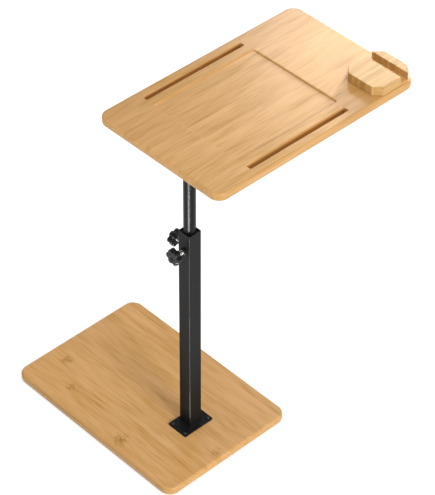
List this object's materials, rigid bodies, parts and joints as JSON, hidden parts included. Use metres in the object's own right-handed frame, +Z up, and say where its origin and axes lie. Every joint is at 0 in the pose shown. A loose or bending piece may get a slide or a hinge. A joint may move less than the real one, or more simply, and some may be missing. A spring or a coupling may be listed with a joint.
{
  "type": "c-shaped side table",
  "caption": "Bamboo tray with tablet grooves and a phone holder on a telescoping, swivelling steel post that stands at the edge of a flat base board.",
  "frame": {"origin": "on the post's axis, at floor level, which is the underside of the foot pads", "axes": "+Z up; the tray reaches from the post along +X, and the base board along +Y"},
  "size_m": [0.5805, 0.508, 0.765],
  "materials": {
    "bamboo": "laminated bamboo under satin varnish",
    "black_steel": "black powder coat, semi-matte",
    "black_plastic": "moulded black nylon, satin",
    "zinc": "bright zinc plating",
    "black_screw": "black zinc plating",
    "pad_rubber": "matte rubber foam"
  },
  "bodies": {
    "stand": {"base_board": "bamboo", "foot_pad_1": "pad_rubber", "foot_pad_2": "pad_rubber", "foot_pad_3": "pad_rubber", "foot_pad_4": "pad_rubber", "post_flange": "black_steel", "flange_screw_1": "black_screw", "flange_screw_2": "black_screw", "flange_screw_3": "black_screw", "flange_screw_4": "black_screw", "outer_tube": "black_steel", "guide_bush": "black_plastic", "clamp_boss_a": "black_steel", "clamp_boss_b": "black_steel"},
    "slider": {"glide_foot": "black_plastic"},
    "top": {"inner_tube": "black_steel", "tray_bracket": "black_steel", "bracket_collar": "black_steel", "bracket_screw_1": "black_screw", "bracket_screw_2": "black_screw", "bracket_screw_3": "black_screw", "bracket_screw_4": "black_screw", "tray_board": "bamboo", "phone_block": "bamboo", "block_screw_1": "black_screw", "block_screw_2": "black_screw"},
    "clamp_a_pad": {"clamp_tip_a": "black_plastic"},
    "clamp_a_screw": {"clamp_stud_a": "zinc", "clamp_knob_a": "black_plastic"},
    "clamp_b_pad": {"clamp_tip_b": "black_plastic"},
    "clamp_b_screw": {"clamp_stud_b": "zinc", "clamp_knob_b": "black_plastic"}
  },
  "joints": [
    {"name": "height_slide", "type": "slide", "parent": "stand", "child": "slider", "axis": [0, 0, 1], "range_m": [-0.175, 0.13]},
    {"name": "tray_swivel", "type": "hinge", "parent": "slider", "child": "top", "pos_m": [0, 0, 0.234], "axis": [0, 0, 1], "continuous": true},
    {"name": "clamp_a_travel", "type": "slide", "parent": "stand", "child": "clamp_a_pad", "axis": [-1, 0, 0], "range_m": [0, 0.00375]},
    {"name": "clamp_a_turn", "type": "hinge", "parent": "clamp_a_pad", "child": "clamp_a_screw", "pos_m": [-0.03, 0, 0.481], "axis": [-1, 0, 0], "range_deg": [0, 1081]},
    {"name": "clamp_b_travel", "type": "slide", "parent": "stand", "child": "clamp_b_pad", "axis": [0, 1, 0], "range_m": [0, 0.00375]},
    {"name": "clamp_b_turn", "type": "hinge", "parent": "clamp_b_pad", "child": "clamp_b_screw", "pos_m": [0, 0.03, 0.481], "axis": [0, 1, 0], "range_deg": [0, 1081]}
  ],
  "couplings": [
    {"joint": "clamp_a_turn", "follows": "clamp_a_travel", "rad_per_m": 5026.5},
    {"joint": "clamp_b_turn", "follows": "clamp_b_travel", "rad_per_m": 5026.5}
  ]
}
